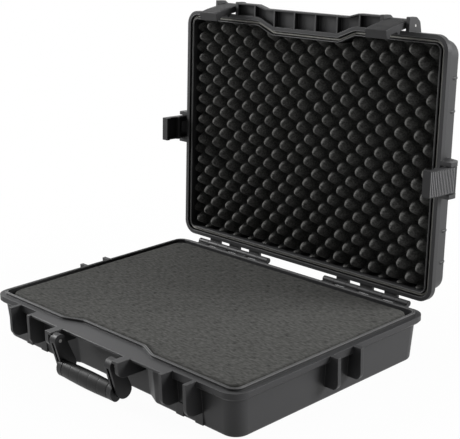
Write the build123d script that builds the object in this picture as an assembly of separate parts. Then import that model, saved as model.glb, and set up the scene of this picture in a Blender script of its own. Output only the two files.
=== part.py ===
"""Waterproof tool case, standing open, with foam in the base and in the lid.

Millimetres. X runs to the right along the front, Y runs back to the hinge, Z is up.
The origin is on the floor, under the middle of the foam opening.
The lid is modelled shut, with its latches hanging straight, and then swung open.
"""
from build123d import *
import os
from math import atan2, tan

os.makedirs("parts", exist_ok=True)

# Opening and rim, the same for base and lid
opening_width = 515.8
opening_depth = 366.8
opening_corner = 11.3
rim_width = 12.9          # from the opening to the base flange's outer face
lid_rim_width = 11.5      # the lid's flange is a little narrower than the base's
front_jog = 13.0          # the front of the rim steps in behind the handle
jog_outer_x = 101.0
jog_inner_x = 69.0
jog_round = 19.0

# Shell walls
wall_offset = 5.6         # outer face of the walls, from the opening, where they meet the flange
wall_thickness = 3.5
wall_corner = 22.0
base_draft = 4.3          # how much narrower the base is at the floor, on each side
lid_draft = 4.0
wall_jog = 10.5
wall_jog_outer_x = 103.0
wall_jog_inner_x = 80.0
wall_jog_round = 8.0
edge_round = 4.5

# Heights
parting_height = 68.5     # top of the base flange
flange_height = 11.0
flange_bevel = 3.2        # along the base flange's lower edge
lid_flange_bevel = 1.6    # along the lid flange's upper edge
lid_height = 42.6         # lid, from its rim to its top
parting_gap = 0.3
bite = 1.0                # how far fused pieces run into each other, and cuts run past a face
tolerance = 0.01          # for picking a corner by its place

# Sealing ridge of the base and the lid's groove and gasket
ridge_width = 4.2
ridge_height = 3.0
groove_margin = 0.8       # groove wider than the ridge, on each side
groove_depth = 6.8
lip_width = 1.3           # inner lip of the groove
lip_setback = 1.8         # the inner lip stops short of the rim to clear the foam
gasket_squeeze = 0.4      # space left between ridge and gasket
gasket_fit = 0.1

# Front shelf of the base
shelf_reach = 14.2        # beyond the flange's front face
shelf_thickness = 4.0
shelf_edge_round = 1.4

# Latch places and bays
front_latch_inset = 96.8   # latch centre from the flange's side face
side_latch_y = 7.5
bay_width = 41.0
fin_thickness = 6.0
front_fin_reach = 18.5
side_fin_reach = 13.9
fin_round = 11.2
fin_foot_reach = 7.0
fin_foot_drop = 47.5      # below the flange's top
fin_lower_drop = 42.5
pad_width = 15.0
pad_proud = 2.5
pad_foot_height = 2.25
catch_height = 4.0        # square catch under the flange, across each bay

# Ears of the lid that carry the latch pins
front_ear_reach = 19.2
side_ear_reach = 17.2
ear_shoulder_rise = 16.2   # above the lid's rim
ear_round = 8.0
ear_slope_run = 7.0       # the ear's sloping upper face
ear_slope_rise = 9.0
ear_top_rise = 4.0
ear_top_run = 4.0

# Latches
latch_pin_offset = 7.0    # from the flange's outer face
latch_pin_rise = 15.5     # above the base flange's top
latch_pin_radius = 2.0
pin_clearance = 0.05
latch_width = 38.5
latch_barrel_radius = 4.4
lever_plate_gap = 0.4     # between the yoke's barrel and the lever's plate
lever_plate_thickness = 3.0
lever_top = 5.0           # above the pin
lever_length = 58.0       # below the pin
lever_straight_length = 42.0
lever_tip_tuck = 1.4      # how far the tip curls in
lever_depth_in = 5.8      # inward reach of nose and tip, from the pin
lever_edge_in = 1.5       # inward reach of the cheeks between them
cheek_thickness = 2.2
nose_gap = 2.3            # nose below the flange's underside when the latch hangs straight
nose_height = 4.0
tip_wall = 3.0
tip_height = 6.0          # inner face of the tip
tip_slope = 5.0
nose_slope_low = 1.5
nose_slope_high = 2.0
lever_top_round = 2.2
rib_count = 11
rib_pitch = 3.7
rib_width = 1.7
rib_proud = 0.7
rib_start = 1.0           # first rib above the bend in the plate
rib_inset = 1.5           # from the lever's side faces
yoke_half_width = 11.6
yoke_side_gap = 0.4
yoke_tongue_length = 22.0
yoke_tongue_half_width = 10.0
yoke_tongue_thickness = 2.4
yoke_tongue_round = 3.0
latch_pin_setback = 0.5   # pin ends below the ears' outer faces
droop_angle = 12.0        # lean of the front latches when the lid stands open

# Lid's front block
block_reach_middle = 12.6     # beyond the base flange's front face
block_reach_end = 18.0
block_bevel_inner_x = 86.0
block_bevel_outer_x = 106.0
block_wall = 2.5
cell_depth = 8.2
block_height = 11.2
cell_rib_thickness = 2.8
block_root = 4.0          # how far the block runs in over the flange
cell_rib_places = (22.0, 65.5, 109.0)

# Hinge
open_angle = 93.257
hinge_offset = 8.1        # axis behind the flange's back face
hinge_rise = 1.5          # axis above the base flange's top
knuckle_radius = 4.7
hinge_pin_radius = 2.0
knuckle_group_inset = 40.8   # last knuckle from the flange's side face
knuckle_pitch = 24.0
knuckle_count = 7
knuckle_gap = 0.5
knuckle_arm = 6.0
knuckle_arm_rise = 2.0    # lid's arms above its rim
knuckle_room = 9.0        # clear space round the lid's knuckles

# Handle
handle_pin_reach = 27.7   # pin axis from the flange's front face
handle_pin_drop = 10.7    # below the flange's top
handle_pin_radius = 2.5
grip_inset = 3.5          # grip centre nearer the case than the pin
grip_drop = 43.0          # grip centre below the pin
arm_inner_x = 56.5
arm_outer_x = 69.5
arm_top_radius = 9.7
arm_foot_radius = 12.6
arm_foot_inset = 12.9     # foot's centre nearer the case than the pin
arm_foot_drop = 39.3
arm_groove_width = 4.6
arm_groove_depth = 3.2
ear_inner_x = 76.0
ear_outer_x = 83.6
ear_reach = 34.7
ear_bottom_drop = 23.5    # below the flange's top
ear_root_drop = 24.5
ear_corner = 10.0
cap_inner_x = 70.3
cap_thickness = 4.0
pin_end_gap = 0.8
core_depth = 11.0
core_height = 18.0
grip_depth = 21.5
grip_height = 28.2
collar_length = 4.2
collar_step = 1.2         # collar smaller than the grip, all round
collar_root = 6.0         # collar runs this far into the arm
grip_fit = 0.1

# Foam
foam_gap = 1.7            # foam to the opening, at the rim
foam_seat = 0.3
foam_rise = 1.5           # base foam above the flange
base_pad_thickness = 12.0
lid_foam_inset = 0.9
egg_pitch = 35.5
egg_start_x = 7.0
egg_start_y = -152.0
egg_peak_setback = 3.9    # above the lid's rim, with the lid shut
egg_valley_setback = 26.2
egg_base_radius = 12.2
egg_tip_radius = 5.5
egg_margin = 18.0

flange_half_x = opening_width / 2 + rim_width
flange_half_y = opening_depth / 2 + rim_width
flange_bottom = parting_height - flange_height
ridge_top = parting_height + ridge_height
lid_bottom = parting_height + parting_gap
lid_top = lid_bottom + lid_height
lid_flange_top = lid_bottom + flange_height
groove_top = lid_bottom + groove_depth
hinge_y = flange_half_y + hinge_offset
hinge_height = parting_height + hinge_rise
latch_pin_height = parting_height + latch_pin_rise
fin_foot_height = parting_height - fin_foot_drop
front_latch_x = flange_half_x - front_latch_inset
shelf_half = front_latch_x - (bay_width + fin_thickness) / 2
knuckle_group_start = flange_half_x - knuckle_group_inset - knuckle_count * knuckle_pitch
handle_pin_height = parting_height - handle_pin_drop
grip_reach = handle_pin_reach - grip_inset
egg_peak_height = lid_bottom + egg_peak_setback
egg_valley_height = lid_bottom + egg_valley_setback
lid_back = opening_depth / 2 + lid_rim_width
hinge_axis = Axis((0, hinge_y, hinge_height), (1, 0, 0))
side_places = {
    "front_left": ("front", -front_latch_x),
    "front_right": ("front", front_latch_x),
    "side_left": ("left", side_latch_y),
    "side_right": ("right", side_latch_y),
}


def jogged_face(half_x, half_y, corner, jog, steps, rounds):
    """Rectangle with round corners whose front edge steps in by jog in the middle."""
    step_out, step_in = steps
    front = -half_y
    points = [
        (-half_x, front), (-step_out, front), (-step_in, front + jog),
        (step_in, front + jog), (step_out, front), (half_x, front),
        (half_x, half_y), (-half_x, half_y),
    ]
    face = make_face(Polyline(*points, close=True))
    for place, size in ((half_x, corner), (step_out, rounds[0]), (step_in, rounds[1])):
        face = fillet(face.vertices().filter_by(lambda v: abs(abs(v.X) - place) < tolerance), size)
    return face


def rim_face(offset, height, corner=None):
    """Outline parallel to the foam opening, offset outwards."""
    lean = atan2(front_jog, jog_outer_x - jog_inner_x)
    shift = offset * tan(lean / 2)
    face = jogged_face(
        opening_width / 2 + offset, opening_depth / 2 + offset, corner or opening_corner + offset,
        front_jog, (jog_outer_x - shift, jog_inner_x - shift), (jog_round + offset, jog_round - offset),
    )
    return Pos(0, 0, height) * face


def wall_face(offset, height):
    """Outline of a shell's outer wall."""
    face = jogged_face(
        opening_width / 2 + offset, opening_depth / 2 + offset, wall_corner,
        wall_jog, (wall_jog_outer_x, wall_jog_inner_x), (wall_jog_round, wall_jog_round),
    )
    return Pos(0, 0, height) * face


def between(low, high):
    """Straight-sided solid between two outlines."""
    return loft([low.face(), high.face()], ruled=True)


def block(x, y, z):
    """Box from three (low, high) pairs."""
    size = [high - low for low, high in (x, y, z)]
    centre = [(high + low) / 2 for low, high in (x, y, z)]
    return Pos(*centre) * Box(*size)


def side_plane(side, along):
    """Plane on the flange's outer face: local x points out, local y points up."""
    if side == "front":
        return Plane((along, -flange_half_y, 0), x_dir=(0, -1, 0), z_dir=(-1, 0, 0))
    if side == "right":
        return Plane((flange_half_x, along, 0), x_dir=(1, 0, 0), z_dir=(0, -1, 0))
    return Plane((-flange_half_x, along, 0), x_dir=(-1, 0, 0), z_dir=(0, 1, 0))


def slab_in(plane, face, low, high):
    """Extrude a face drawn in a plane from low to high along the plane's normal."""
    return plane.location * (Pos(0, 0, low) * extrude(face, high - low))


def latch_wall_pairs():
    """Start and end, across a latch bay, of the two walls beside it."""
    inner = bay_width / 2
    outer = inner + fin_thickness
    return [(-outer, -inner), (inner, outer)]


def lower_corner_rounded(face, reach, size):
    """Round the lower corner at the outer end of a fin's or ear's outline."""
    outer = face.vertices().filter_by(lambda v: abs(v.X - reach) < tolerance)
    return fillet(outer.filter_by(lambda v: v.Y < parting_height - tolerance), size)


def fin(side, along, reach):
    """Pair of guard fins of the base, one on each side of a latch bay."""
    root = -(rim_width - wall_offset) - base_draft
    outline = Polyline(
        (root, fin_foot_height), (root, parting_height), (reach, parting_height),
        (reach, parting_height - fin_lower_drop), (fin_foot_reach, fin_foot_height), close=True,
    )
    face = lower_corner_rounded(make_face(outline), reach, fin_round)
    plane = side_plane(side, along)
    return [slab_in(plane, face, low, high) for low, high in latch_wall_pairs()]


def front_pads():
    """Low flat pads on the front wall, below the front fins."""
    pads = []
    front = opening_depth / 2 + wall_offset - base_draft + pad_proud
    for centre in (-front_latch_x, front_latch_x):
        for side in (-1, 1):
            inner = centre + side * (bay_width / 2 + fin_thickness)
            low, high = sorted((inner, inner - side * pad_width))
            deep = (-front, -front + 2 * pad_proud)
            pads.append(block((low, high), deep, (pad_foot_height, fin_foot_height)))
    return pads


def handle_ears():
    """Two ears and their cap plates, which carry the handle's pins."""
    outline = Polyline(
        (-rim_width, parting_height), (ear_reach, parting_height),
        (ear_reach, parting_height - ear_bottom_drop), (-rim_width, parting_height - ear_root_drop),
        close=True,
    )
    face = lower_corner_rounded(make_face(outline), ear_reach, ear_corner)
    pieces = []
    for side in (-1, 1):
        low, high = sorted((-side * ear_inner_x, -side * ear_outer_x))
        pieces.append(slab_in(side_plane("front", 0), face, low, high))
        low, high = sorted((side * cap_inner_x, side * ear_outer_x))
        front = -flange_half_y
        cap = block((low, high), (front - ear_reach, front), (parting_height - cap_thickness, parting_height))
        pieces.append(cap)
    return pieces


def handle_pin_place(side):
    """Where a handle pin starts, at the arm's inner face, and which way it runs."""
    return Plane(
        (side * arm_inner_x, -flange_half_y - handle_pin_reach, handle_pin_height),
        z_dir=(side, 0, 0),
    )


def handle_pin(side, radius, length):
    """Pin, or the bore for it, along a handle pin's axis."""
    centre = Pos(0, 0, length / 2)
    return handle_pin_place(side).location * (centre * Cylinder(radius, length))


def knuckle_spans(first):
    """X spans of every other knuckle in both hinge groups, from the first given."""
    spans = []
    for side in (-1, 1):
        for index in range(first, knuckle_count, 2):
            near = knuckle_group_start + index * knuckle_pitch
            low, high = sorted((side * near, side * (near + knuckle_pitch)))
            spans.append((low + knuckle_gap / 2, high - knuckle_gap / 2))
    return spans


def bevelled_flange(width, low, bevel_low, bevel_high):
    """Flange ring, still filled in, with a bevel along its lower or its upper outer edge."""
    top = low + flange_height
    pieces = [extrude(rim_face(width, low + bevel_low), flange_height - bevel_low - bevel_high)]
    if bevel_low:
        pieces.append(between(rim_face(width - bevel_low, low), rim_face(width, low + bevel_low)))
    if bevel_high:
        pieces.append(between(rim_face(width, top - bevel_high), rim_face(width - bevel_high, top)))
    return pieces


def catches():
    """Square catch below the flange in every latch bay, for the latch's nose to hook under."""
    pieces = []
    for side, along in side_places.values():
        outline = Rectangle(2 * flange_bevel, catch_height)
        outline = Pos(-flange_bevel, flange_bottom + catch_height / 2) * outline
        half = bay_width / 2 + bite
        pieces.append(slab_in(side_plane(side, along), outline, -half, half))
    return pieces


def knuckle(span, back, arm_low, arm_high):
    """One hinge knuckle with the arm that joins it to a flange's back face."""
    low, high = span
    length = high - low
    barrel = Pos((low + high) / 2, hinge_y, hinge_height) * Rot(0, 90, 0) * Cylinder(knuckle_radius, length)
    arm = block(span, (back - bite, hinge_y), (arm_low, arm_high))
    return [barrel, arm]


def hinge_bore(radius):
    """Round bar along the whole hinge axis."""
    length = 2 * (knuckle_group_start + knuckle_count * knuckle_pitch) + knuckle_pitch
    return Pos(0, hinge_y, hinge_height) * Rot(0, 90, 0) * Cylinder(radius, length)


def base_shell():
    """Tub, flange, sealing ridge, shelf, fins, handle ears and hinge knuckles."""
    bottom = wall_face(wall_offset - base_draft, 0)
    top = wall_face(wall_offset, flange_bottom)
    tub = between(bottom, top)
    tub = fillet(tub.edges().group_by(Axis.Z)[0], edge_round)
    flange = bevelled_flange(rim_width, flange_bottom, flange_bevel, 0)
    ridge = extrude(rim_face(ridge_width, parting_height), ridge_height)
    shelf_front = -flange_half_y - shelf_reach
    shelf = block(
        (-shelf_half, shelf_half), (shelf_front, -flange_half_y + front_jog + bite),
        (parting_height - shelf_thickness, parting_height),
    )
    shelf = fillet(shelf.edges().filter_by(Axis.X).group_by(Axis.Y)[0], shelf_edge_round)
    pieces = [*flange, ridge, shelf, *catches(), *front_pads(), *handle_ears()]
    for side, along in side_places.values():
        reach = front_fin_reach if side == "front" else side_fin_reach
        pieces.extend(fin(side, along, reach))
    for span in knuckle_spans(0):
        pieces.extend(knuckle(span, flange_half_y, parting_height - knuckle_arm, parting_height))
    shell = tub.fuse(*pieces)
    floor_side = wall_offset - base_draft - wall_thickness
    cavity = between(
        rim_face(floor_side, wall_thickness, wall_corner - wall_thickness), rim_face(0, parting_height),
    )
    mouth = extrude(rim_face(0, parting_height), ridge_height + bite)
    cuts = [cavity, mouth, hinge_bore(hinge_pin_radius + pin_clearance)]
    for span in knuckle_spans(1):
        room = (span[0] - knuckle_gap, span[1] + knuckle_gap)
        back = (flange_half_y + tolerance, hinge_y + knuckle_room)
        cuts.append(block(room, back, (flange_bottom, ridge_top + knuckle_room)))
    for side in (-1, 1):
        length = ear_outer_x - arm_inner_x - pin_end_gap + 2 * pin_clearance
        cuts.append(handle_pin(side, handle_pin_radius + pin_clearance, length))
    return shell.cut(*cuts)


def ears(side, along, reach):
    """Pair of lid ears that hold a latch pin, one on each side of the bay."""
    root = -(rim_width - wall_offset) - bite
    shoulder = lid_bottom + ear_shoulder_rise
    bend = shoulder + ear_slope_rise
    top = bend + ear_top_rise
    outline = Polyline(
        (root, lid_bottom), (reach, lid_bottom), (reach, shoulder), (reach - ear_slope_run, bend),
        (root + ear_top_run, top), (root, top), close=True,
    )
    face = make_face(outline)
    tops = face.vertices().filter_by(lambda v: v.Y > lid_bottom + tolerance and v.X > 0)
    face = fillet(tops, ear_round)
    plane = side_plane(side, along)
    return [slab_in(plane, face, low, high) for low, high in latch_wall_pairs()]


def front_block():
    """Hollow block along the lid's front edge, open towards the rim and divided by ribs."""
    def outline(inset):
        front = -flange_half_y
        side = shelf_half - inset
        return make_face(Polyline(
            (-side, front + front_jog + block_root), (-side, front - block_reach_end + inset),
            (-block_bevel_outer_x, front - block_reach_end + inset),
            (-block_bevel_inner_x, front - block_reach_middle + inset),
            (block_bevel_inner_x, front - block_reach_middle + inset),
            (block_bevel_outer_x, front - block_reach_end + inset),
            (side, front - block_reach_end + inset), (side, front + front_jog + block_root), close=True,
        ))
    body = extrude(Pos(0, 0, lid_bottom) * outline(0), block_height)
    body = body - extrude(Pos(0, 0, lid_bottom) * outline(block_wall), cell_depth)
    low = -flange_half_y - block_reach_end + bite
    high = -flange_half_y + front_jog + block_root
    inside = extrude(Pos(0, 0, lid_bottom) * outline(block_wall / 2), block_height)
    ribs = []
    for place in cell_rib_places:
        for side in (-1, 1):
            centre = side * place
            half = cell_rib_thickness / 2
            rib = block((centre - half, centre + half), (low, high), (lid_bottom, lid_bottom + block_height))
            ribs.append(rib & inside)
    return body.fuse(*ribs)


def latch_pin(side, along, radius, half_length):
    """Pin across a latch bay, or the bore for it."""
    centre = Pos(latch_pin_offset, latch_pin_height, 0)
    return side_plane(side, along).location * (centre * Cylinder(radius, 2 * half_length))


def lid_shell():
    """Dome, flange with its gasket groove, front block, ears and hinge knuckles, modelled shut."""
    low = wall_face(wall_offset, lid_bottom + bite)
    high = wall_face(wall_offset - lid_draft, lid_top)
    dome = between(low, high)
    dome = fillet(dome.edges().group_by(Axis.Z)[-1], edge_round)
    flange = bevelled_flange(lid_rim_width, lid_bottom, 0, lid_flange_bevel)
    pieces = [*flange, front_block()]
    for side, along in side_places.values():
        reach = front_ear_reach if side == "front" else side_ear_reach
        pieces.extend(ears(side, along, reach))
    for span in knuckle_spans(1):
        arm_low = lid_bottom + knuckle_arm_rise
        pieces.extend(knuckle(span, lid_back, arm_low, arm_low + knuckle_arm))
    shell = dome.fuse(*pieces)
    inner_lip = -groove_margin - lip_width
    ceiling = lid_top - wall_thickness
    corner = wall_corner - wall_thickness
    throat = extrude(rim_face(inner_lip, lid_bottom - bite), flange_height + 2 * bite)
    cavity = between(
        rim_face(wall_offset - wall_thickness, lid_flange_top, corner),
        rim_face(wall_offset - lid_draft - wall_thickness, ceiling, corner),
    )
    groove = extrude(rim_face(ridge_width + groove_margin, lid_bottom - bite), groove_depth + bite)
    groove = groove - extrude(rim_face(-groove_margin, lid_bottom - bite), groove_depth + bite)
    setback = extrude(rim_face(-groove_margin + tolerance, lid_bottom - bite), lip_setback + bite)
    cuts = [throat, cavity, groove, setback, hinge_bore(hinge_pin_radius + pin_clearance)]
    for side, along in side_places.values():
        cuts.append(latch_pin(side, along, latch_pin_radius + pin_clearance, bay_width))
    return shell.cut(*cuts)


def lid_gasket():
    """Rubber ring on the floor of the lid's groove."""
    low = ridge_top + gasket_squeeze
    outer = extrude(rim_face(ridge_width + groove_margin - gasket_fit, low), groove_top - low)
    return outer - extrude(rim_face(-groove_margin + gasket_fit, low), groove_top - low)


def hinge_pin(side):
    """Steel pin through one group of knuckles."""
    length = knuckle_count * knuckle_pitch - 2 * knuckle_gap
    centre = side * (knuckle_group_start + knuckle_count * knuckle_pitch / 2)
    return Pos(centre, hinge_y, hinge_height) * Rot(0, 90, 0) * Cylinder(hinge_pin_radius, length)


def lever_plate_in():
    """Inner face of the lever's plate, outwards from the pin."""
    return latch_barrel_radius + lever_plate_gap


def latch_lever():
    """Lever about its pin: x outwards, y up, z along the pin. Plate, cheeks, nose bar and tip."""
    plate_in = lever_plate_in()
    plate_out = plate_in + lever_plate_thickness
    nose_top = flange_bottom - latch_pin_height - nose_gap
    nose_low = nose_top - nose_height
    tip_top = tip_height - lever_length
    outline = Polyline(
        (plate_out, lever_top), (plate_out, -lever_straight_length),
        (plate_out - lever_tip_tuck, -lever_length), (-lever_depth_in, -lever_length),
        (-lever_depth_in, tip_top), (-lever_edge_in, tip_top + tip_slope),
        (-lever_edge_in, nose_low - nose_slope_low), (-lever_depth_in, nose_low),
        (-lever_depth_in, nose_top), (-lever_edge_in, nose_top + nose_slope_high),
        (-lever_edge_in, lever_top), close=True,
    )
    face = make_face(outline)
    face = fillet(face.vertices().filter_by(lambda v: v.Y > lever_top - tolerance), lever_top_round)
    half = latch_width / 2
    body = Pos(0, 0, -half) * extrude(face, latch_width)
    inside = half - cheek_thickness
    hollow_tuck = lever_tip_tuck * (1 - tip_wall / (lever_length - lever_straight_length))
    hollow_outline = Polyline(
        (plate_in, lever_top + bite), (plate_in, -lever_straight_length),
        (plate_in - hollow_tuck, -lever_length + tip_wall),
        (-lever_depth_in - bite, -lever_length + tip_wall), (-lever_depth_in - bite, lever_top + bite),
        close=True,
    )
    hollow = Pos(0, 0, -inside) * extrude(make_face(hollow_outline), 2 * inside)
    across = (-inside - bite, inside + bite)
    bar = block((-lever_depth_in, -lever_edge_in + bite), (nose_low, nose_top), across)
    barrels = []
    for side in (-1, 1):
        near = yoke_half_width + yoke_side_gap
        low, high = sorted((side * near, side * half))
        barrels.append(Pos(0, 0, (low + high) / 2) * Cylinder(latch_barrel_radius, high - low))
    ribs = []
    for index in range(rib_count):
        height = -lever_straight_length + rib_start + index * rib_pitch
        ribs.append(block(
            (plate_out - bite, plate_out + rib_proud), (height - rib_width / 2, height + rib_width / 2),
            (-half + rib_inset, half - rib_inset),
        ))
    lever = body.cut(hollow).fuse(bar, *barrels, *ribs)
    return lever - Cylinder(latch_pin_radius + pin_clearance, latch_width + 2 * bite)


def latch_yoke():
    """Middle knuckle of a latch with its tongue, on the same pin as the lever."""
    barrel = Cylinder(latch_barrel_radius, 2 * yoke_half_width)
    tongue = block(
        (-yoke_tongue_thickness, 0), (-yoke_tongue_length, 0),
        (-yoke_tongue_half_width, yoke_tongue_half_width),
    )
    tongue = fillet(tongue.edges().filter_by(Axis.X).group_by(Axis.Y)[0], yoke_tongue_round)
    return barrel + tongue - Cylinder(latch_pin_radius + pin_clearance, 2 * (yoke_half_width + bite))


def on_latch_pin(side, along, piece):
    """Set a latch piece on its pin, with the lid shut, leaning in on the front latches."""
    lean = -droop_angle if side == "front" else 0
    place = side_plane(side, along).location * Pos(latch_pin_offset, latch_pin_height, 0)
    return place * (Rot(0, 0, lean) * piece)


def grip_centre():
    """Centre of the grip's section, in the front plane's out and up directions."""
    return Pos(grip_reach, handle_pin_height - grip_drop, 0)


def oval_bar(depth, height, low, high):
    """Oval bar along the grip between two X places."""
    face = grip_centre() * Ellipse(depth / 2, height / 2)
    return slab_in(side_plane("front", 0), face, low, high)


def touching_edges():
    """For the case side and the front of an arm: its straight edge's direction out, and its two ends."""
    top = Vector(handle_pin_reach, handle_pin_height)
    foot = top - Vector(arm_foot_inset, arm_foot_drop)
    run = foot - top
    along = run.normalized()
    across = Vector(-along.Y, along.X)
    slope = (arm_foot_radius - arm_top_radius) / run.length
    edges = []
    for side in (-1, 1):
        out = across * side * (1 - slope**2) ** 0.5 - along * slope
        edges.append((out, top + out * arm_top_radius, foot + out * arm_foot_radius))
    return edges


def arm_faces():
    """Outline of an arm, wider at its foot than at the pin, and of the channel in its front."""
    (_, back_top, back_foot), (out, front_top, front_foot) = touching_edges()
    middle = make_face(Polyline(back_top, front_top, front_foot, back_foot, close=True))
    top = Pos(handle_pin_reach, handle_pin_height, 0) * Circle(arm_top_radius)
    foot_place = Pos(handle_pin_reach - arm_foot_inset, handle_pin_height - arm_foot_drop, 0)
    deep, proud = out * -arm_groove_depth, out * bite
    channel = make_face(Polyline(
        front_top + deep, front_top + proud, front_foot + proud, front_foot + deep, close=True,
    ))
    return middle + top + foot_place * Circle(arm_foot_radius), channel


def handle_frame():
    """Two arms, the core bar between them and the collars at the grip's ends."""
    arm_face, channel_face = arm_faces()
    plane = side_plane("front", 0)
    pieces = [oval_bar(core_depth, core_height, -arm_inner_x - bite, arm_inner_x + bite)]
    cuts = []
    collar_start = arm_inner_x - collar_length
    for side in (-1, 1):
        low, high = sorted((side * arm_inner_x, side * arm_outer_x))
        pieces.append(slab_in(plane, arm_face, low, high))
        middle = (low + high) / 2
        groove_half = arm_groove_width / 2
        cuts.append(slab_in(plane, channel_face, middle - groove_half, middle + groove_half))
        cuts.append(handle_pin(side, handle_pin_radius + pin_clearance, arm_outer_x - arm_inner_x + bite))
        low, high = sorted((side * collar_start, side * (arm_inner_x + collar_root)))
        pieces.append(oval_bar(grip_depth - 2 * collar_step, grip_height - 2 * collar_step, low, high))
    frame = pieces[0].fuse(*pieces[1:])
    return frame.cut(*cuts)


def handle_grip():
    """Rubber sleeve round the core."""
    half = arm_inner_x - collar_length - grip_fit
    sleeve = oval_bar(grip_depth, grip_height, -half, half)
    core = oval_bar(core_depth + 2 * grip_fit, core_height + 2 * grip_fit, -half - bite, half + bite)
    return sleeve - core


def base_foam(low, high):
    """Foam slab that fills the tub between two heights, just clear of the walls."""
    depth = parting_height - wall_thickness
    narrowing = wall_thickness + base_draft - wall_offset
    widening = wall_corner - wall_thickness - opening_corner

    def outline(height):
        share = (parting_height - height) / depth
        return rim_face(-foam_gap - narrowing * share, height, opening_corner - foam_gap + widening * share)
    return between(outline(low), outline(high))


def egg_peak():
    """One foam peak, its foot at the origin and its rounded tip along -Z."""
    shoulder = egg_valley_height - egg_peak_height - egg_tip_radius
    cone = make_face(Polyline(
        (0, bite), (egg_base_radius, bite), (egg_base_radius, 0), (egg_tip_radius, -shoulder),
        (0, -shoulder), close=True,
    ))
    return revolve(Plane.XZ * cone, Axis.Z) + Pos(0, 0, -shoulder) * Sphere(egg_tip_radius)


def lid_foam():
    """Egg-crate foam of the lid, modelled with the lid shut: a slab with rows of peaks."""
    top = lid_top - wall_thickness - foam_seat
    side = wall_offset - lid_draft - wall_thickness - lid_foam_inset
    corner = wall_corner - wall_thickness - lid_foam_inset
    slab = extrude(rim_face(side, egg_valley_height, corner), top - egg_valley_height)
    peak = egg_peak()
    half_x = opening_width / 2 - egg_margin
    half_y = opening_depth / 2 - egg_margin
    row_step = egg_pitch / 2
    rows = int(opening_depth / row_step)
    columns = int(opening_width / egg_pitch)
    peaks = []
    for row in range(-rows, rows):
        y = egg_start_y + row * row_step
        shift = row % 2 * row_step
        for column in range(-columns, columns):
            x = egg_start_x + shift + column * egg_pitch
            front = half_y - (front_jog if abs(x) < jog_outer_x else 0)
            if abs(x) <= half_x and -front <= y <= half_y:
                peaks.append(Pos(x, y, egg_valley_height) * peak)
    return slab.fuse(*peaks)


def opened(shape):
    """Swing a piece of the lid from shut to open."""
    return shape.rotate(hinge_axis, -open_angle)


def save(shape, name):
    """Write one node."""
    export_step(shape, f"parts/{name}.step")


save(base_shell(), "base_shell")
save(base_foam(wall_thickness + foam_seat, wall_thickness + base_pad_thickness), "base_foam_pad")
foam_floor = wall_thickness + base_pad_thickness + foam_seat
save(base_foam(foam_floor, parting_height + foam_rise), "base_foam_block")
save(opened(lid_shell()), "lid_shell")
save(opened(lid_gasket()), "lid_gasket")
save(opened(lid_foam()), "lid_foam")
save(hinge_pin(-1), "hinge_pin_left")
save(hinge_pin(1), "hinge_pin_right")
save(handle_frame(), "handle_frame")
save(handle_grip(), "handle_grip")
for hand, sign in (("left", -1), ("right", 1)):
    pin_length = ear_outer_x - arm_inner_x - pin_end_gap
    save(handle_pin(sign, handle_pin_radius, pin_length), f"handle_pin_{hand}")
lever = latch_lever()
yoke = latch_yoke()
for place, (side, along) in side_places.items():
    pin_half = bay_width / 2 + fin_thickness - latch_pin_setback
    save(opened(on_latch_pin(side, along, lever)), f"latch_lever_{place}")
    save(opened(on_latch_pin(side, along, yoke)), f"latch_yoke_{place}")
    save(opened(latch_pin(side, along, latch_pin_radius, pin_half)), f"latch_pin_{place}")
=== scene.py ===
"""Waterproof tool case, standing open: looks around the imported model.

Sizes are in millimetres, and MM turns them into metres.
"""
import math

import bpy
from mathutils import Matrix, Vector


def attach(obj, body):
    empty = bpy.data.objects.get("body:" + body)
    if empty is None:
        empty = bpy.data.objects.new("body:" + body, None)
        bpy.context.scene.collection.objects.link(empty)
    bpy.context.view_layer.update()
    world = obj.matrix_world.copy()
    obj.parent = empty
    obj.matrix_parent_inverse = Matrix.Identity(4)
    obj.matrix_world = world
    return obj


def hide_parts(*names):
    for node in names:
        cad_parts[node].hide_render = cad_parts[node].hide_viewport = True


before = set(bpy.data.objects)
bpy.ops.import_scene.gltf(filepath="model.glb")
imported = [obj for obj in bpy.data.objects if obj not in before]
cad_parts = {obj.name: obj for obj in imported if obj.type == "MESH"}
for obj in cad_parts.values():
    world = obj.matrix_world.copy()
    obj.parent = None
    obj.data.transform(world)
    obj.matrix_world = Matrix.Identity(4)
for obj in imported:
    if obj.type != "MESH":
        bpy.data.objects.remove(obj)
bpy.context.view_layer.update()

# The two shells, tub and lid: injection mouldings of black polypropylene copolymer. Their moulds were
# spark eroded, which leaves a fine even grain and a soft sheen, and every edge comes out a little round.
MM = 0.001
polymer_ior = 1.49
handling_patch = 120.0
painted_shade_reach = 22.0


def linear(code):
    """Linear colour from an sRGB hex code."""
    channels = [int(code[i:i + 2], 16) / 255 for i in (1, 3, 5)]
    return [c / 12.92 if c <= 0.04045 else ((c + 0.055) / 1.055) ** 2.4 for c in channels] + [1.0]


def add(tree, kind, settings=(), links=()):
    """Add a node, set its properties and inputs by name, and link its inputs to other nodes' outputs."""
    node = tree.nodes.new(kind)
    for name, value in dict(settings).items():
        if isinstance(name, int) or name in node.inputs:
            node.inputs[name].default_value = value
        else:
            setattr(node, name, value)
    for name, (source, output) in dict(links).items():
        tree.links.new(source.outputs[output], node.inputs[name])
    return node


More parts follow.
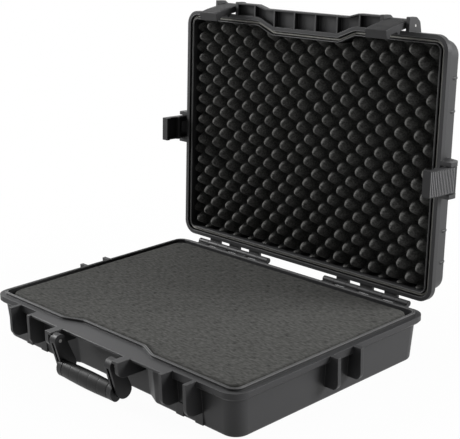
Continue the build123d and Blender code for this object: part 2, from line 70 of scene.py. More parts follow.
def moulded(name, hue, rough, specular, grain, relief, edge, rough_spread=0.05):
    """A moulded skin: grain is the size of its bumps, relief their height and edge the corner radius."""
    material = bpy.data.materials.new(name)
    material.use_nodes = True
    tree = material.node_tree
    tree.nodes.clear()
    coords = add(tree, "ShaderNodeTexCoord")
    fine = add(tree, "ShaderNodeTexNoise", {"Scale": 1 / (grain * MM), "Detail": 2.0, "Roughness": 0.55},
               {"Vector": (coords, "Object")})
    corner = add(tree, "ShaderNodeBevel", {"samples": 6, "Radius": edge * MM})
    bump = add(tree, "ShaderNodeBump", {"Strength": 1.0, "Distance": relief * MM},
               {"Height": (fine, "Fac"), "Normal": (corner, "Normal")})
    # Hands and handling leave broad patches that shine a little more or less than their neighbours.
    broad = add(tree, "ShaderNodeTexNoise", {"Scale": 1 / (handling_patch * MM), "Detail": 3.0},
                {"Vector": (coords, "Object")})
    sheen = add(tree, "ShaderNodeMapRange", {
        "From Min": 0.3, "From Max": 0.7, "To Min": rough - rough_spread, "To Max": rough + rough_spread,
    }, {"Value": (broad, "Fac")})
    # Painted shade: inner corners and recesses are painted darker, and open faces a little paler.
    painted_shade_ao = add(tree, "ShaderNodeAmbientOcclusion",
                   {"samples": 6, "only_local": True, "Distance": painted_shade_reach * MM})
    corner_shade = add(tree, "ShaderNodeMapRange", {
        "From Min": 0.35, "From Max": 0.9, "To Min": 0.12, "To Max": 1.05,
    }, {"Value": (painted_shade_ao, "AO")})
    body = add(tree, "ShaderNodeHueSaturation", {"Color": linear(hue)}, {"Value": (corner_shade, 0)})
    skin = add(tree, "ShaderNodeBsdfPrincipled", {"Specular IOR Level": specular, "IOR": polymer_ior},
               {"Base Color": (body, 0), "Roughness": (sheen, "Result"), "Normal": (bump, "Normal")})
    add(tree, "ShaderNodeOutputMaterial", links={"Surface": (skin, "BSDF")})
    return material


def finish_nodes(material, *nodes):
    """Give CAD nodes a finished material."""
    for node in nodes:
        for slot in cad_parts[node].material_slots:
            slot.material = material


# A grain of 0.9 mm is drawn for the real 0.2 mm, which the render could not show. The grains of the other
# mouldings are drawn that much coarser too.
shell_plastic = moulded("spark_eroded_black_polypropylene", "#333334", rough=0.45, specular=0.3,
                        grain=0.9, relief=0.035, edge=1.2)
finish_nodes(shell_plastic, "base_shell", "lid_shell")

# The base's foam: a thick block on a thin pad, both cut with a hot wire or knife from charcoal sheets of
# open-cell polyurethane and laid loose in the tub. The lid's peaks have pressed faint dents in the block.
opening_half = (257.9, 183.4)
foam_corner = 17.0
jog_depth = 13.0
jog_outer = 101.0
jog_inner = 69.0
jog_ease = 3.0


def foam_front(x, half_y):
    """The foam's front edge, which steps in behind the handle like the rim."""
    share = min(1.0, max(0.0, (jog_outer + jog_ease - abs(x)) / (jog_outer - jog_inner + 2 * jog_ease)))
    return -half_y + jog_depth * share * share * (3 - 2 * share)


def foam_sheet(name, inset, corner, low, high, cell, edge=1.2):
    """A sheet of foam, inset from the opening: a fine grid on top, round upper edges, a closed underside."""
    half_x, half_y = opening_half[0] - inset - edge, opening_half[1] - inset - edge
    columns, rows = round(2 * half_x / cell), round(2 * half_y / cell)
    points, faces = [], []
    for i in range(columns + 1):
        x = -half_x + 2 * half_x * i / columns
        past_corner = max(0.0, abs(x) - (half_x - corner))
        cut = corner - math.sqrt(max(0.0, corner**2 - past_corner**2))
        near, far = foam_front(x, half_y) + cut, half_y - cut
        points.extend((x, near + (far - near) * j / rows, high) for j in range(rows + 1))
    wide = rows + 1
    for i in range(columns):
        for j in range(rows):
            a = i * wide + j
            faces.append((a, a + wide, a + wide + 1, a + 1))
    ring = [i * wide for i in range(columns + 1)]
    ring += [columns * wide + j for j in range(1, rows + 1)]
    ring += [i * wide + rows for i in range(columns - 1, -1, -1)]
    ring += [j for j in range(rows - 1, 0, -1)]
    top_count = len(points)
    outline = []
    for index, point in enumerate(ring):
        before, after = points[ring[index - 1]], points[ring[(index + 1) % len(ring)]]
        along = Vector((after[0] - before[0], after[1] - before[1]))
        outline.append((points[point][0], points[point][1], Vector((along.y, -along.x)).normalized()))
    # Two steps go round the upper edge, and the third goes down the side.
    previous = ring
    for reach, height in ((0.7, high - 0.35 * edge), (1.0, high - edge), (1.0, low)):
        start = len(points)
        points.extend((x + out.x * edge * reach, y + out.y * edge * reach, height) for x, y, out in outline)
        current = list(range(start, start + len(ring)))
        for index in range(len(ring)):
            after = (index + 1) % len(ring)
            faces.append((previous[index], current[index], current[after], previous[after]))
        previous = current
    faces.append(tuple(reversed(previous)))
    mesh = bpy.data.meshes.new(name)
    mesh.from_pydata([Vector(point) * MM for point in points], [], faces)
    mesh.update()
    # Only the top and its first rounding step may be shaped into rows.
    shaped = mesh.attributes.new("shaped", "FLOAT", "POINT")
    shaped.data.foreach_set("value", [float(i < top_count + len(ring)) for i in range(len(points))])
    for polygon in mesh.polygons:
        polygon.use_smooth = len(polygon.vertices) == 4
    piece = bpy.data.objects.new(name, mesh)
    bpy.context.scene.collection.objects.link(piece)
    return piece


def foam_rows_tree():
    """Nodes that raise or press a foam face in domes, in rows that stand half a pitch apart."""
    tree = bpy.data.node_groups.new("foam_rows", "GeometryNodeTree")
    tree.interface.new_socket("Geometry", in_out="INPUT", socket_type="NodeSocketGeometry")
    for name in ("Pitch", "Start X", "Start Y", "Height", "Radius", "Fullness"):
        tree.interface.new_socket(name, in_out="INPUT", socket_type="NodeSocketFloat")
    tree.interface.new_socket("Foam", in_out="INPUT", socket_type="NodeSocketMaterial")
    tree.interface.new_socket("Geometry", in_out="OUTPUT", socket_type="NodeSocketGeometry")
    given = add(tree, "NodeGroupInput")
    # Rows half a pitch apart are a square lattice turned by 45 degrees, with cells of pitch / sqrt 2.
    point = add(tree, "GeometryNodeInputPosition")
    start = add(tree, "ShaderNodeCombineXYZ", links={0: (given, "Start X"), 1: (given, "Start Y")})
    moved = add(tree, "ShaderNodeVectorMath", {"operation": "SUBTRACT"}, {0: (point, 0), 1: (start, 0)})
    turned = add(tree, "ShaderNodeVectorRotate", {"rotation_type": "Z_AXIS", "Angle": math.radians(45)},
                 {"Vector": (moved, 0)})
    cell = add(tree, "ShaderNodeMath", {"operation": "MULTIPLY", 1: math.sqrt(0.5)}, {0: (given, "Pitch")})
    half_cell = add(tree, "ShaderNodeMath", {"operation": "MULTIPLY", 1: 0.5}, {0: (cell, 0)})
    axes = add(tree, "ShaderNodeSeparateXYZ", links={0: (turned, 0)})
    from_dome = []
    for axis in (0, 1):
        shifted = add(tree, "ShaderNodeMath", {"operation": "ADD"}, {0: (axes, axis), 1: (half_cell, 0)})
        folded = add(tree, "ShaderNodeMath", {"operation": "FLOORED_MODULO"},
                     {0: (shifted, 0), 1: (cell, 0)})
        from_dome.append(add(tree, "ShaderNodeMath", {"operation": "SUBTRACT"},
                             {0: (folded, 0), 1: (half_cell, 0)}))
    flat = add(tree, "ShaderNodeCombineXYZ", links={0: (from_dome[0], 0), 1: (from_dome[1], 0)})
    away = add(tree, "ShaderNodeVectorMath", {"operation": "LENGTH"}, {0: (flat, 0)})
    # A dome's height is (1 - (away / radius) ** 2) ** fullness, and nothing past its radius.
    ratio = add(tree, "ShaderNodeMath", {"operation": "DIVIDE"}, {0: (away, "Value"), 1: (given, "Radius")})
    square = add(tree, "ShaderNodeMath", {"operation": "MULTIPLY"}, {0: (ratio, 0), 1: (ratio, 0)})
    rest = add(tree, "ShaderNodeMath", {"operation": "SUBTRACT", "use_clamp": True, 0: 1.0},
               {1: (square, 0)})
    dome = add(tree, "ShaderNodeMath", {"operation": "POWER"}, {0: (rest, 0), 1: (given, "Fullness")})
    height = add(tree, "ShaderNodeMath", {"operation": "MULTIPLY"}, {0: (dome, 0), 1: (given, "Height")})
    shaped = add(tree, "GeometryNodeInputNamedAttribute", {"data_type": "FLOAT", "Name": "shaped"})
    masked = add(tree, "ShaderNodeMath", {"operation": "MULTIPLY"}, {0: (height, 0), 1: (shaped, 0)})
    offset = add(tree, "ShaderNodeCombineXYZ", links={2: (masked, 0)})
    raised = add(tree, "GeometryNodeSetPosition", links={"Geometry": (given, 0), "Offset": (offset, 0)})
    real = add(tree, "GeometryNodeRealizeInstances", links={0: (raised, 0)})
    painted = add(tree, "GeometryNodeSetMaterial",
                  links={"Geometry": (real, 0), "Material": (given, "Foam")})
    add(tree, "NodeGroupOutput", links={0: (painted, 0)})
    return tree


def run_tree(piece, tree, values):
    """Run a node tree on a piece with its named inputs, and keep the result as its plain mesh."""
    modifier = piece.modifiers.new(tree.name, "NODES")
    modifier.node_group = tree
    for item in tree.interface.items_tree:
        if item.item_type == "SOCKET" and item.in_out == "INPUT" and item.name in values:
            modifier[item.identifier] = values[item.name]
    bpy.context.view_layer.update()
    result = piece.evaluated_get(bpy.context.evaluated_depsgraph_get())
    mesh = bpy.data.meshes.new_from_object(result)
    piece.modifiers.clear()
    piece.data = mesh
    return piece


def open_cell_foam(name, hue, pore, relief):
    """Knife-cut open-cell foam: no shine at all, with darker pores between the cell walls."""
    material = bpy.data.materials.new(name)
    material.use_nodes = True
    tree = material.node_tree
    tree.nodes.clear()
    coords = add(tree, "ShaderNodeTexCoord")
    cells = add(tree, "ShaderNodeTexVoronoi", {"Scale": 1 / (pore * MM)}, {"Vector": (coords, "Object")})
    bump = add(tree, "ShaderNodeBump", {"Strength": 1.0, "Distance": relief * MM},
               {"Height": (cells, "Distance")})
    # The knife runs along X and draws the torn cell walls out that way.
    drawn = add(tree, "ShaderNodeMapping", {"Scale": (0.4, 1.0, 1.0)}, {"Vector": (coords, "Object")})
    torn = add(tree, "ShaderNodeTexNoise", {"Scale": 1 / (1.6 * pore * MM), "Detail": 4.0},
               {"Vector": (drawn, 0)})
    dark = add(tree, "ShaderNodeMapRange", {
        "From Min": 0.25, "From Max": 0.75, "To Min": 0.45, "To Max": 1.55,
    }, {"Value": (torn, "Fac")})
    # Slightly paler and darker places in the foam, about 70 mm across.
    cloud = add(tree, "ShaderNodeTexNoise", {"Scale": 14.0, "Detail": 2.0}, {"Vector": (coords, "Object")})
    drift = add(tree, "ShaderNodeMapRange", {
        "From Min": 0.3, "From Max": 0.7, "To Min": 0.95, "To Max": 1.05,
    }, {"Value": (cloud, "Fac")})
    both = add(tree, "ShaderNodeMath", {"operation": "MULTIPLY"}, {0: (dark, "Result"), 1: (drift, "Result")})
    # Painted shade: the valleys between the peaks and other hollows are painted darker than the peaks.
    painted_shade_ao = add(tree, "ShaderNodeAmbientOcclusion",
                   {"samples": 6, "only_local": True, "Distance": painted_shade_reach * MM})
    valley_shade = add(tree, "ShaderNodeMapRange", {
        "From Min": 0.35, "From Max": 0.95, "To Min": 0.35, "To Max": 1.08,
    }, {"Value": (painted_shade_ao, "AO")})
    shaded = add(tree, "ShaderNodeMath", {"operation": "MULTIPLY"}, {0: (both, 0), 1: (valley_shade, 0)})
    body = add(tree, "ShaderNodeHueSaturation", {"Color": linear(hue)}, {"Value": (shaded, 0)})
    skin = add(tree, "ShaderNodeBsdfPrincipled",
               {"Roughness": 1.0, "Specular IOR Level": 0.08, "Sheen Weight": 0.03, "Sheen Roughness": 0.6},
               {"Base Color": (body, "Color"), "Normal": (bump, "Normal")})
    add(tree, "ShaderNodeOutputMaterial", links={"Surface": (skin, "BSDF")})
    return material


# Cells of 2 mm are drawn for the real 0.8 mm, so that the dull, speckled grain shows at this distance.
charcoal_foam = open_cell_foam("charcoal_open_cell_polyurethane", "#444442", pore=2.0, relief=0.3)
foam_rows = foam_rows_tree()
row_pitch = 35.5
row_start = (7.0, -152.0)
dent_depth = 1.3
dent_radius = 5.0
dent_fullness = 1.6

foam_block = foam_sheet("base_foam_block_soft", inset=4.6, corner=foam_corner, low=16.0, high=70.0,
                        cell=2.6, edge=3.6)
run_tree(foam_block, foam_rows, {
    "Pitch": row_pitch * MM, "Start X": row_start[0] * MM, "Start Y": row_start[1] * MM,
    "Height": -dent_depth * MM, "Radius": dent_radius * MM, "Fullness": dent_fullness, "Foam": charcoal_foam,
})
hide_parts("base_foam_block")
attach(foam_block, "base")

foam_pad = foam_sheet("base_foam_pad_soft", inset=3.6, corner=foam_corner, low=3.9, high=15.4, cell=9.0)
foam_pad.data.materials.append(charcoal_foam)
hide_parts("base_foam_pad")
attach(foam_pad, "base")

# The lid's foam: the same polyurethane in black, convoluted between rollers into rounded peaks that hold
# what lies in the case. It is glued into the dome. Heights are those of the shut lid, which lid_swing opens.
open_angle = math.radians(93.257)
hinge = Vector((0, 204.4, 70.0)) * MM
lid_swing = Matrix.Translation(hinge) @ Matrix.Rotation(-open_angle, 4, "X") @ Matrix.Translation(-hinge)
lid_foam_corner = 14.0
lid_peak = 72.7
lid_valley = 95.0
lid_foam_back = 107.4
dome_radius = 14.0
dome_fullness = 1.2


def flipped(piece, height):
    """Turn a sheet that was made face up face down, about its own height."""
    for vertex in piece.data.vertices:
        vertex.co.z = 2 * height * MM - vertex.co.z
    piece.data.flip_normals()
    return piece


# Cells of 1.6 mm stand for the real 0.6 mm here, and painted shade makes the valleys darker than the peaks.
black_foam = open_cell_foam("black_convoluted_polyurethane", "#636361", pore=1.6, relief=0.3)
lid_foam = foam_sheet("lid_foam_eggcrate", inset=3.2, corner=lid_foam_corner,
                      low=2 * lid_valley - lid_foam_back, high=lid_valley, cell=1.7)
run_tree(lid_foam, foam_rows, {
    "Pitch": row_pitch * MM, "Start X": row_start[0] * MM, "Start Y": row_start[1] * MM,
    "Height": (lid_valley - lid_peak) * MM, "Radius": dome_radius * MM, "Fullness": dome_fullness,
    "Foam": black_foam,
})
flipped(lid_foam, lid_valley)
lid_foam.data.transform(lid_swing)
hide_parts("lid_foam")
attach(lid_foam, "lid")

# The gasket: an extruded round cord of grey rubber, dull and slightly dusty. It is pressed into the
# lid's groove all the way round, with a narrow dark gap on each side of it.
gasket_rubber = moulded("extruded_grey_rubber", "#A5A49E", rough=0.75, specular=0.3,
                        grain=1.1, relief=0.03, edge=0.3)
gasket_offset = 2.1
gasket_radius = 1.9
gasket_height = 73.9
rim_corner = 11.3
jog_round = 19.0
arc_steps = 10


def rounded_path(corners):
    """Closed path through corners given as (x, y, radius)."""
    path = []
    for index, (x, y, radius) in enumerate(corners):
        corner = Vector((x, y))
        before, after = Vector(corners[index - 1][:2]), Vector(corners[(index + 1) % len(corners)][:2])
        back, on = (before - corner).normalized(), (after - corner).normalized()
        half_turn = back.angle(on) / 2
        centre = corner + (back + on).normalized() * radius / math.sin(half_turn)
        run = radius / math.tan(half_turn)
        start, end = corner + back * run - centre, corner + on * run - centre
        path.extend(centre + start.slerp(end, step / arc_steps) * radius for step in range(arc_steps + 1))
    return path


def rim_line(offset, height):
    """Points all round the rim of the shut case, parallel to the foam's opening."""
    half_x, half_y = opening_half[0] + offset, opening_half[1] + offset
    shift = offset * math.tan(math.atan2(jog_depth, jog_outer - jog_inner) / 2)
    outer, inner = jog_outer - shift, jog_inner - shift
    corner, wide, tight = rim_corner + offset, jog_round + offset, jog_round - offset
    path = rounded_path([
        (-half_x, -half_y, corner), (-outer, -half_y, wide), (-inner, jog_depth - half_y, tight),
        (inner, jog_depth - half_y, tight), (outer, -half_y, wide), (half_x, -half_y, corner),
        (half_x, half_y, corner), (-half_x, half_y, corner),
    ])
    return [(x, y, height) for x, y in path]


def cord_tree():
    """Nodes that sweep a round section along a piece's edges."""
    tree = bpy.data.node_groups.new("swept_cord", "GeometryNodeTree")
    tree.interface.new_socket("Geometry", in_out="INPUT", socket_type="NodeSocketGeometry")
    tree.interface.new_socket("Radius", in_out="INPUT", socket_type="NodeSocketFloat")
    tree.interface.new_socket("Finish", in_out="INPUT", socket_type="NodeSocketMaterial")
    tree.interface.new_socket("Geometry", in_out="OUTPUT", socket_type="NodeSocketGeometry")
    given = add(tree, "NodeGroupInput")
    line = add(tree, "GeometryNodeMeshToCurve", links={"Mesh": (given, 0)})
    section = add(tree, "GeometryNodeCurvePrimitiveCircle", {"Resolution": 16}, {"Radius": (given, "Radius")})
    tube = add(tree, "GeometryNodeCurveToMesh", {"Fill Caps": True},
               {"Curve": (line, 0), "Profile Curve": (section, 0)})
    smooth = add(tree, "GeometryNodeSetShadeSmooth", links={"Geometry": (tube, 0)})
    real = add(tree, "GeometryNodeRealizeInstances", links={0: (smooth, 0)})
    painted = add(tree, "GeometryNodeSetMaterial",
                  links={"Geometry": (real, 0), "Material": (given, "Finish")})
    add(tree, "NodeGroupOutput", links={0: (painted, 0)})
    return tree


swept_cord = cord_tree()


def cords(name, radius, finish, lines, closed):
    """Round cords along lines of points, as one piece."""
    points, edges = [], []
    for line in lines:
        first = len(points)
        points.extend(Vector(point) * MM for point in line)
        edges.extend((first + i, first + i + 1) for i in range(len(line) - 1))
        if closed:
            edges.append((first + len(line) - 1, first))
    mesh = bpy.data.meshes.new(name)
    mesh.from_pydata(points, edges, [])
    piece = bpy.data.objects.new(name, mesh)
    bpy.context.scene.collection.objects.link(piece)
    return run_tree(piece, swept_cord, {"Radius": radius * MM, "Finish": finish})


gasket = cords("gasket_cord", gasket_radius, gasket_rubber, [rim_line(gasket_offset, gasket_height)],
               closed=True)
gasket.data.transform(lid_swing)
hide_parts("lid_gasket")
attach(gasket, "lid")

# Sealing lips: the rounded edges of the base's ridge and of the lid's groove, the same polypropylene
# as the shells but painted paler, a painted highlight, so that each one shows as a bright line.
highlight_lip_plastic = moulded("polypropylene_painted_highlight", "#626262", rough=0.5, specular=0.25,
                      grain=0.9, relief=0.01, edge=0.2, rough_spread=0.04)
ridge_lip_radius = 0.7
ridge_lip_offsets = (0.7, 3.5)
ridge_top = 71.5
groove_lip_radius = 0.6
groove_lips = ((-1.45, 69.15), (5.6, 69.25))

base_lips = cords("base_sealing_lips", ridge_lip_radius, highlight_lip_plastic,
                  [rim_line(offset, ridge_top) for offset in ridge_lip_offsets], closed=True)
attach(base_lips, "base")
lid_lips = cords("lid_sealing_lips", groove_lip_radius, highlight_lip_plastic,
                 [rim_line(offset, height) for offset, height in groove_lips], closed=True)
lid_lips.data.transform(lid_swing)
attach(lid_lips, "lid")

# Stacking ribs: four rounded ribs of the lid's own polypropylene, moulded across its outer face to keep
# a case laid on top from scraping it. They run over the edges and fade into the side walls.
stacking_rows = (-133.0, -85.0, 91.0, 139.0)
stacking_radius = 3.0
stacking_bend = [(255.0, 94.0), (259.6, 99.0), (259.3, 104.5), (257.3, 108.6), (253.0, 110.6)]

stacking_lines = [
    [(-x, row, z) for x, z in stacking_bend] + [(x, row, z) for x, z in reversed(stacking_bend)]
    for row in stacking_rows
]
stacking_ribs = cords("lid_stacking_ribs", stacking_radius, shell_plastic, stacking_lines, closed=False)
stacking_ribs.data.transform(lid_swing)
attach(stacking_ribs, "lid")

# Hinge, handle and latch pins: drawn steel wire with fine scratches along it, pressed into their bores.
# The hinge pins are blackened in an oxide bath, and the others show bright ends.
drawn_steel = bpy.data.materials.new("drawn_steel_wire")
drawn_steel.use_nodes = True
wire_tree = drawn_steel.node_tree
wire_tree.nodes.clear()
wire_coords = add(wire_tree, "ShaderNodeTexCoord")
# The scratches are 17 mm long and 0.45 mm wide, about ten times the real width, so that they show.
streaks = add(wire_tree, "ShaderNodeMapping", {"Scale": (60.0, 2200.0, 2200.0)},
              {"Vector": (wire_coords, "Object")})
scratches = add(wire_tree, "ShaderNodeTexNoise", {"Scale": 1.0, "Detail": 3.0},
                {"Vector": (streaks, "Vector")})
polish = add(wire_tree, "ShaderNodeMapRange", {"To Min": 0.22, "To Max": 0.45},
             {"Value": (scratches, "Fac")})
metal = add(wire_tree, "ShaderNodeBsdfPrincipled", {"Base Color": linear("#B9B8B6"), "Metallic": 1.0},
            {"Roughness": (polish, "Result")})
add(wire_tree, "ShaderNodeOutputMaterial", links={"Surface": (metal, "BSDF")})
latches = ("front_left", "front_right", "side_left", "side_right")
finish_nodes(drawn_steel, "handle_pin_left", "handle_pin_right",
             *[f"latch_pin_{latch}" for latch in latches])

black_oxide = moulded("black_oxide_steel", "#1A1A1B", rough=0.4, specular=0.4,
                      grain=0.6, relief=0.01, edge=0.2)
finish_nodes(black_oxide, "hinge_pin_left", "hinge_pin_right")

# The latches, a lever and a yoke each: injection moulded in glass-filled nylon, harder and a little
# shinier than the shells, so that their ribs catch light. They hang on pins through the lid's ears.
latch_nylon = moulded("glass_filled_black_nylon", "#2C2C2D", rough=0.44, specular=0.25,
                      grain=0.8, relief=0.025, edge=0.5)
for latch in latches:
    finish_nodes(latch_nylon, f"latch_lever_{latch}", f"latch_yoke_{latch}")

# Thumb ribs: rounded nylon bars moulded across each lever's outer face, from its barrel to its tip, over
# its plain ribs. The side levers' ribs are painted paler as a painted highlight, the front ones are not.
rib_painted_highlight_nylon = moulded("rib_nylon_painted_highlight", "#808081", rough=0.34, specular=0.4,
                         grain=0.8, relief=0.01, edge=0.2, rough_spread=0.04)
rib_count = 15
rib_pitch = 3.7
first_rib = -55.8
rib_radius = 0.95
rib_half = 17.8
rib_out = 7.9
tip_height = -42.0
tip_slope = 1.4 / 16
pin_reach = 7.0
pin_height = 84.0
front_lean = math.radians(-12.0)
front_flange, front_latch_x = 196.3, 174.0
side_flange, side_latch_y = 270.8, 7.5


def ribs_tree():
    """Nodes that lay a rounded bar across each point of a piece."""
    tree = bpy.data.node_groups.new("thumb_ribs", "GeometryNodeTree")
    tree.interface.new_socket("Geometry", in_out="INPUT", socket_type="NodeSocketGeometry")
    for name in ("Radius", "Half Length"):
        tree.interface.new_socket(name, in_out="INPUT", socket_type="NodeSocketFloat")
    tree.interface.new_socket("Nylon", in_out="INPUT", socket_type="NodeSocketMaterial")
    tree.interface.new_socket("Geometry", in_out="OUTPUT", socket_type="NodeSocketGeometry")
    given = add(tree, "NodeGroupInput")
    back = add(tree, "ShaderNodeMath", {"operation": "MULTIPLY", 1: -1.0}, {0: (given, "Half Length")})
    low_end = add(tree, "ShaderNodeCombineXYZ", links={2: (back, 0)})
    high_end = add(tree, "ShaderNodeCombineXYZ", links={2: (given, "Half Length")})
    line = add(tree, "GeometryNodeCurvePrimitiveLine", links={"Start": (low_end, 0), "End": (high_end, 0)})
    section = add(tree, "GeometryNodeCurvePrimitiveCircle", {"Resolution": 12}, {"Radius": (given, "Radius")})
    bar = add(tree, "GeometryNodeCurveToMesh", {"Fill Caps": True},
              {"Curve": (line, 0), "Profile Curve": (section, 0)})
    laid = add(tree, "GeometryNodeInstanceOnPoints", links={"Points": (given, 0), "Instance": (bar, 0)})
    real = add(tree, "GeometryNodeRealizeInstances", links={0: (laid, 0)})
    painted = add(tree, "GeometryNodeSetMaterial",
                  links={"Geometry": (real, 0), "Material": (given, "Nylon")})
    add(tree, "NodeGroupOutput", links={0: (painted, 0)})
    return tree


def latch_frame(latch):
    """Place of a latch on the open lid: local x points out, y up and z along its pin, in metres."""
    out, middle, lean = {
        "front_left": (Vector((0, -1, 0)), (-front_latch_x, -front_flange), front_lean),
        "front_right": (Vector((0, -1, 0)), (front_latch_x, -front_flange), front_lean),
        "side_left": (Vector((-1, 0, 0)), (-side_flange, side_latch_y), 0.0),
        "side_right": (Vector((1, 0, 0)), (side_flange, side_latch_y), 0.0),
    }[latch]
    up = Vector((0, 0, 1))
    pin = Vector((*middle, pin_height)) + out * pin_reach
    facing = Matrix((out, up, out.cross(up))).transposed().to_4x4()
    return lid_swing @ Matrix.Translation(pin * MM) @ facing @ Matrix.Rotation(lean, 4, "Z")


thumb_ribs = ribs_tree()
rib_heights = [first_rib + index * rib_pitch for index in range(rib_count)]
rib_spots = [(rib_out - max(0.0, tip_height - height) * tip_slope, height, 0) for height in rib_heights]
for latch in latches:
    rib_mesh = bpy.data.meshes.new(f"thumb_ribs_{latch}")
    rib_mesh.from_pydata([Vector(spot) * MM for spot in rib_spots], [], [])
    ribs = bpy.data.objects.new(f"thumb_ribs_{latch}", rib_mesh)
    bpy.context.scene.collection.objects.link(ribs)
    # The side levers' ribs take the painted highlight.
    rib_finish = rib_painted_highlight_nylon if latch.startswith("side") else latch_nylon
    run_tree(ribs, thumb_ribs, {"Radius": rib_radius * MM, "Half Length": rib_half * MM, "Nylon": rib_finish})
    ribs.data.transform(latch_frame(latch))
    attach(ribs, f"lever_{latch}")

# The carry handle: a frame of moulded nylon with channelled arms, as dull as the shells but darker. The
# grip is a nearly black rubber sleeve moulded over its core, with shallow rings so that no hand slips.
handle_nylon = moulded("black_handle_nylon", "#242425", rough=0.46, specular=0.25,
                       grain=0.8, relief=0.02, edge=0.7)
finish_nodes(handle_nylon, "handle_frame")
grip_rubber = moulded("overmoulded_black_rubber", "#1D1D1D", rough=0.46, specular=0.2,
                      grain=1.0, relief=0.03, edge=0.4)
grip_half = 52.2
grip_centre = Vector((0, -220.5, 14.8))
grip_depth, grip_height = 21.5, 28.2
grip_swell = 1.3
end_length, end_drop = 1.6, 1.2
ring_count = 5
ring_depth = 0.25
ring_sharpness = 40
grip_stations = 160
grip_sides = 48

grip_points, grip_faces = [], []
for i in range(grip_stations + 1):
    along = i / grip_stations
    from_end = min(along, 1 - along) * 2 * grip_half
    end_round = math.sqrt(max(0.0, 1 - max(0.0, 1 - from_end / end_length) ** 2))
    ring_cut = max(0.0, math.cos(math.tau * along * ring_count)) ** ring_sharpness * ring_depth
    loss = ring_cut + (1 - end_round) * end_drop + grip_swell * (2 * along - 1) ** 2
    for j in range(grip_sides):
        angle = math.tau * j / grip_sides
        grip_points.append(grip_centre + Vector((
            -grip_half + 2 * grip_half * along,
            math.cos(angle) * (grip_depth / 2 - loss), math.sin(angle) * (grip_height / 2 - loss),
        )))
for i in range(grip_stations):
    for j in range(grip_sides):
        a, b = i * grip_sides + j, i * grip_sides + (j + 1) % grip_sides
        grip_faces.append((a, a + grip_sides, b + grip_sides, b))
grip_faces.append(tuple(range(grip_sides)))
grip_faces.append(tuple(reversed(range(grip_stations * grip_sides, (grip_stations + 1) * grip_sides))))
grip_mesh = bpy.data.meshes.new("grip_sleeve")
grip_mesh.from_pydata([point * MM for point in grip_points], [], grip_faces)
grip_mesh.flip_normals()
for polygon in grip_mesh.polygons:
    polygon.use_smooth = len(polygon.vertices) == 4
grip_mesh.materials.append(grip_rubber)
grip = bpy.data.objects.new("grip_sleeve", grip_mesh)
bpy.context.scene.collection.objects.link(grip)
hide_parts("handle_grip")
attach(grip, "handle")

# The studio: a seamless sheet of matt white paper under the case, which keeps its faint shadow, a white
# world behind it, and square soft lights above, at the left and behind the right.
floor_half = 6.0
floor_drop = 0.0005


def seen_directly(tree):
    """1 for rays from the camera, and for those that gloss and glass send on, else 0."""
    path = add(tree, "ShaderNodeLightPath")
    mirrored = add(tree, "ShaderNodeMath", {"operation": "MAXIMUM"},
                   {0: (path, "Is Glossy Ray"), 1: (path, "Is Transmission Ray")})
    return add(tree, "ShaderNodeMath", {"operation": "MAXIMUM"},
               {0: (path, "Is Camera Ray"), 1: (mirrored, 0)})


floor_corners = [(-floor_half, -floor_half, 0), (floor_half, -floor_half, 0),
                 (floor_half, floor_half, 0), (-floor_half, floor_half, 0)]
floor_mesh = bpy.data.meshes.new("studio_floor")
floor_mesh.from_pydata(floor_corners, [], [(0, 1, 2, 3)])
floor = bpy.data.objects.new("studio_floor", floor_mesh)
floor.location.z = -floor_drop
bpy.context.scene.collection.objects.link(floor)

# Near the case 3% of the paper's own shade shows in the white, and a metre away none of it.
paper = bpy.data.materials.new("white_studio_paper")
paper.use_nodes = True
paper_tree = paper.node_tree
paper_tree.nodes.clear()
matt = add(paper_tree, "ShaderNodeBsdfDiffuse", {"Color": linear("#D2D2D2")})
glow = add(paper_tree, "ShaderNodeEmission", {"Color": (1, 1, 1, 1), "Strength": 1.0})
paper_coords = add(paper_tree, "ShaderNodeTexCoord")
from_case = add(paper_tree, "ShaderNodeVectorMath", {"operation": "LENGTH"}, {0: (paper_coords, "Object")})
whiteness = add(paper_tree, "ShaderNodeMapRange",
                {"From Min": 0.35, "From Max": 1.0, "To Min": 0.97, "To Max": 1.0},
                {"Value": (from_case, "Value")})
paper_share = add(paper_tree, "ShaderNodeMath", {"operation": "MULTIPLY"},
                  {0: (seen_directly(paper_tree), 0), 1: (whiteness, 0)})
paper_mix = add(paper_tree, "ShaderNodeMixShader",
                links={0: (paper_share, 0), 1: (matt, 0), 2: (glow, 0)})
add(paper_tree, "ShaderNodeOutputMaterial", links={"Surface": (paper_mix, 0)})
floor_mesh.materials.append(paper)

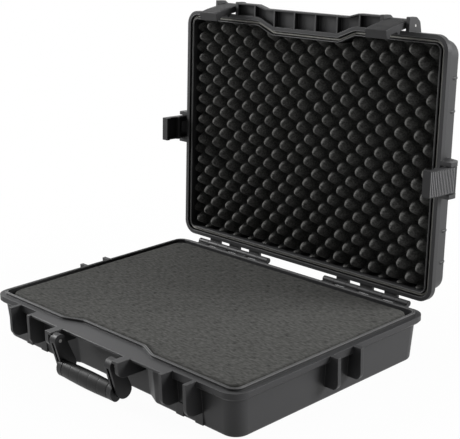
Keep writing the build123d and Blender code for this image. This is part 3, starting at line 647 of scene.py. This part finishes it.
world = bpy.data.worlds.new("studio")
bpy.context.scene.world = world
world.use_nodes = True
world_tree = world.node_tree
world_tree.nodes.clear()
fill = add(world_tree, "ShaderNodeBackground", {"Color": (1, 1, 1, 1), "Strength": 0.04})
white = add(world_tree, "ShaderNodeBackground", {"Color": (1, 1, 1, 1), "Strength": 1.0})
world_mix = add(world_tree, "ShaderNodeMixShader",
                links={0: (seen_directly(world_tree), 0), 1: (fill, 0), 2: (white, 0)})
add(world_tree, "ShaderNodeOutputWorld", links={"Surface": (world_mix, 0)})


def softbox(name, place, target, size, power):
    """Square area lamp aimed at a point, in metres and watts."""
    lamp = bpy.data.lights.new(name, "AREA")
    lamp.shape = "SQUARE"
    lamp.size = size
    lamp.energy = power
    holder = bpy.data.objects.new(name, lamp)
    holder.location = place
    holder.rotation_euler = (Vector(target) - Vector(place)).to_track_quat("-Z", "Y").to_euler()
    bpy.context.scene.collection.objects.link(holder)


softbox("light_above", place=(-0.6, 0.4, 2.3), target=(0, 0, 0), size=1.2, power=15.0)
softbox("light_left", place=(-2.3, -0.65, 1.3), target=(0, 0, 0.15), size=0.9, power=72.0)
softbox("light_right", place=(1.9, 1.35, 1.15), target=(0.1, 0, 0.15), size=1.0, power=64.0)

# The camera was fitted to the edges in the photo. Yaw turns it from +Y towards +X, and pitch is downwards.
camera_place = (1.194469, -1.075443, 0.679241)
yaw, pitch, roll = (math.radians(angle) for angle in (-46.48419, 16.64198, -1.11496))
camera_data = bpy.data.cameras.new("camera")
camera_data.lens = 88.73
camera_data.sensor_width = 36.0
camera = bpy.data.objects.new("camera", camera_data)
forward = Vector((math.sin(yaw) * math.cos(pitch), math.cos(yaw) * math.cos(pitch), -math.sin(pitch)))
level = Vector((math.cos(yaw), -math.sin(yaw), 0))
above = level.cross(forward)
right = math.cos(roll) * level + math.sin(roll) * above
up = -math.sin(roll) * level + math.cos(roll) * above
camera.matrix_world = Matrix.Translation(camera_place) @ Matrix((right, up, -forward)).transposed().to_4x4()
bpy.context.scene.collection.objects.link(camera)
bpy.context.scene.camera = camera
bpy.context.scene.view_settings.view_transform = "Standard"
